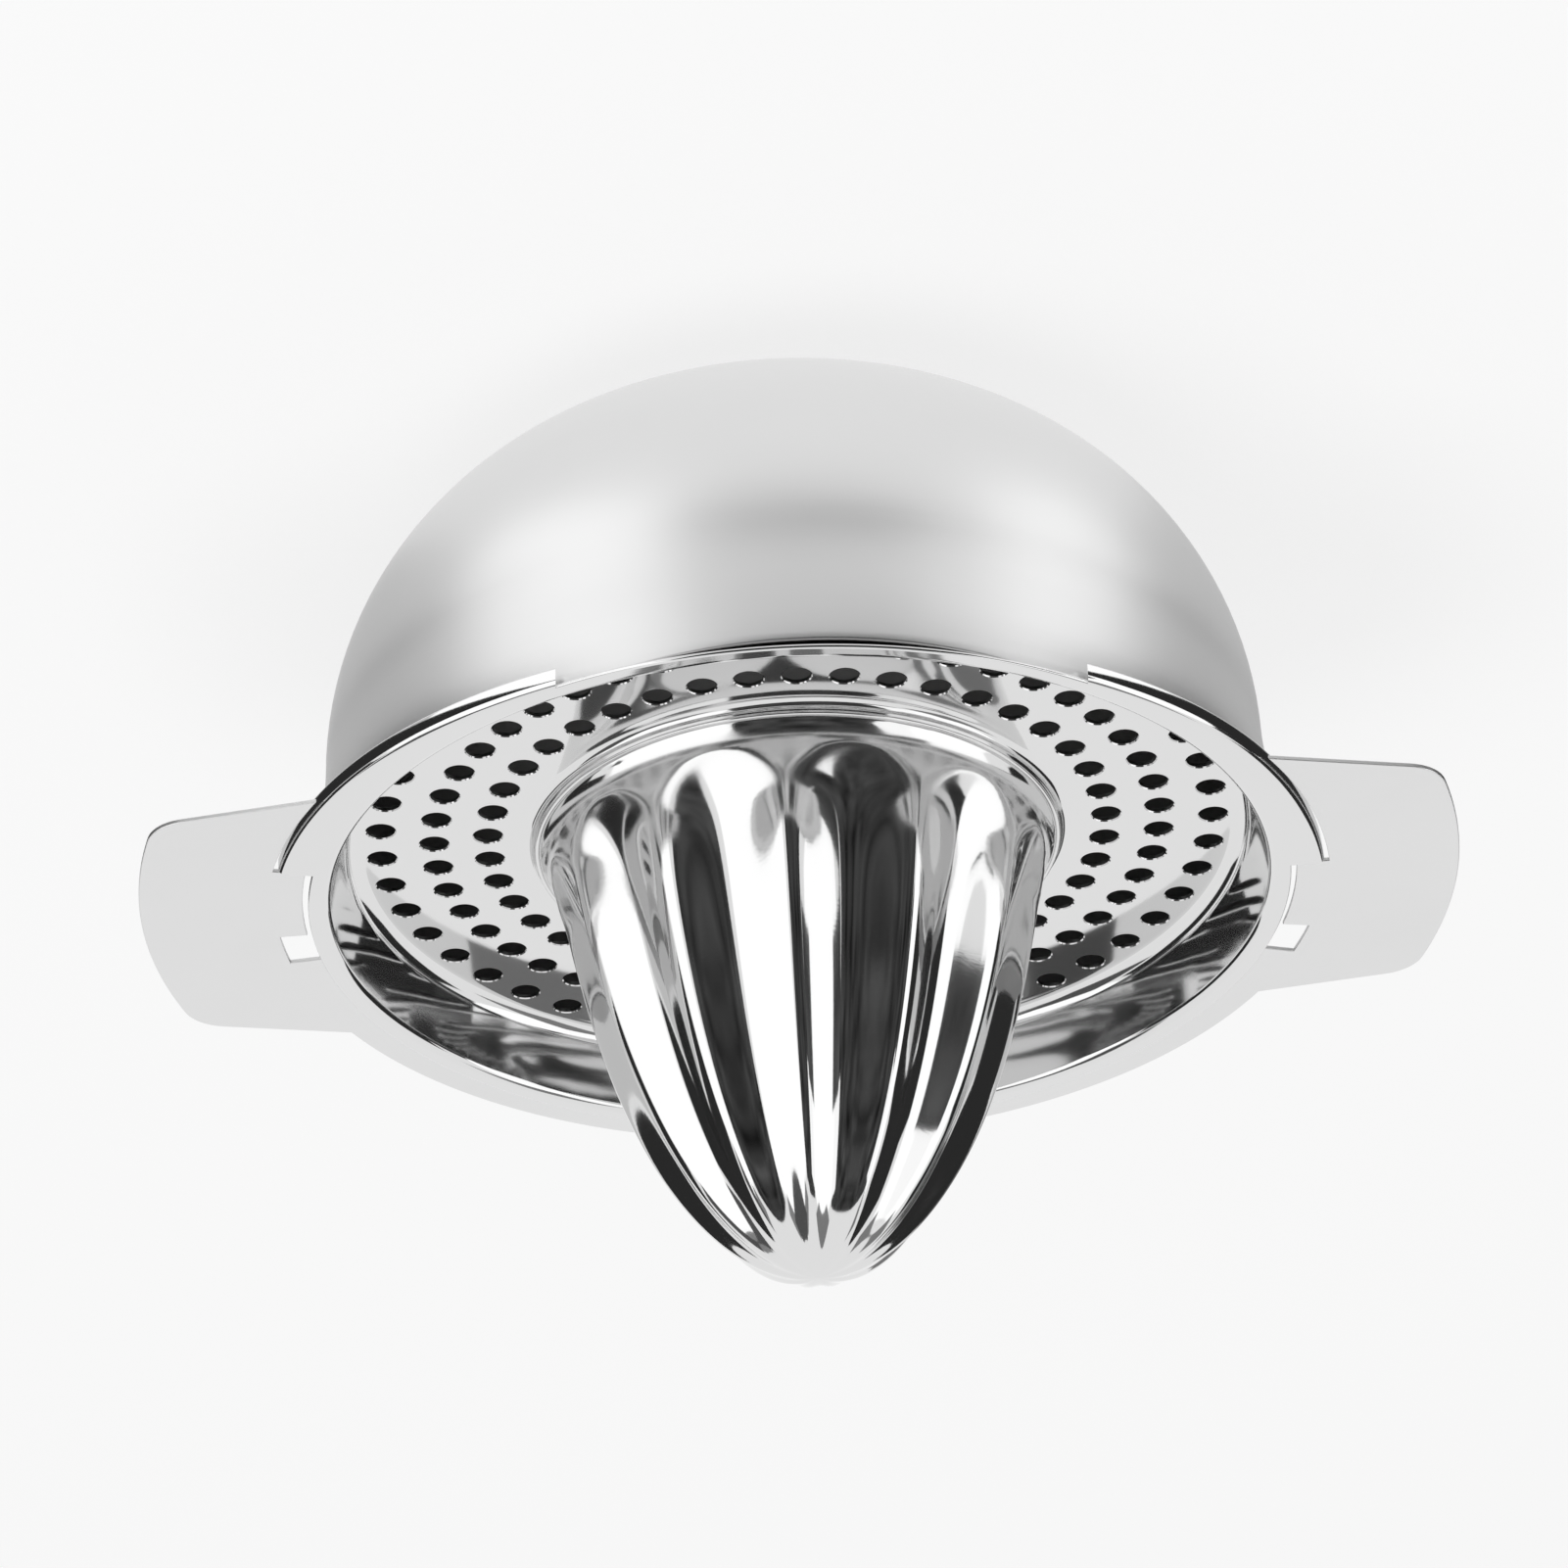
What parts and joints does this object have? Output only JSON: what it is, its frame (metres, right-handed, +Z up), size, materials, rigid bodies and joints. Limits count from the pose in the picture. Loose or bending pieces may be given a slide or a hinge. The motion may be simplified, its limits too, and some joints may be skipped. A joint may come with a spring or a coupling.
{
  "type": "lemon squeezer",
  "caption": "Stainless citrus squeezer: a round bowl with two flat handles and a lift-out strainer tray with a fluted reamer.",
  "frame": {"origin": "centre of the bowl's flat base, on the table", "axes": "+Z up along the bowl's axis, +X along the two handles, -Y towards the pouring side"},
  "size_m": [0.1676, 0.1293, 0.1127],
  "materials": {
    "satin_steel": "satin",
    "mirror_steel": "mirror polish"
  },
  "bodies": {
    "bowl_body": {"bowl": "satin_steel", "handle_rim": "satin_steel"},
    "strainer_body": {"strainer": "mirror_steel", "reamer": "mirror_steel"}
  },
  "joints": [
    {"name": "strainer_lift", "type": "slide", "parent": "bowl_body", "child": "strainer_body", "axis": [0, 0, 1], "range_m": [0, 0.08]}
  ]
}
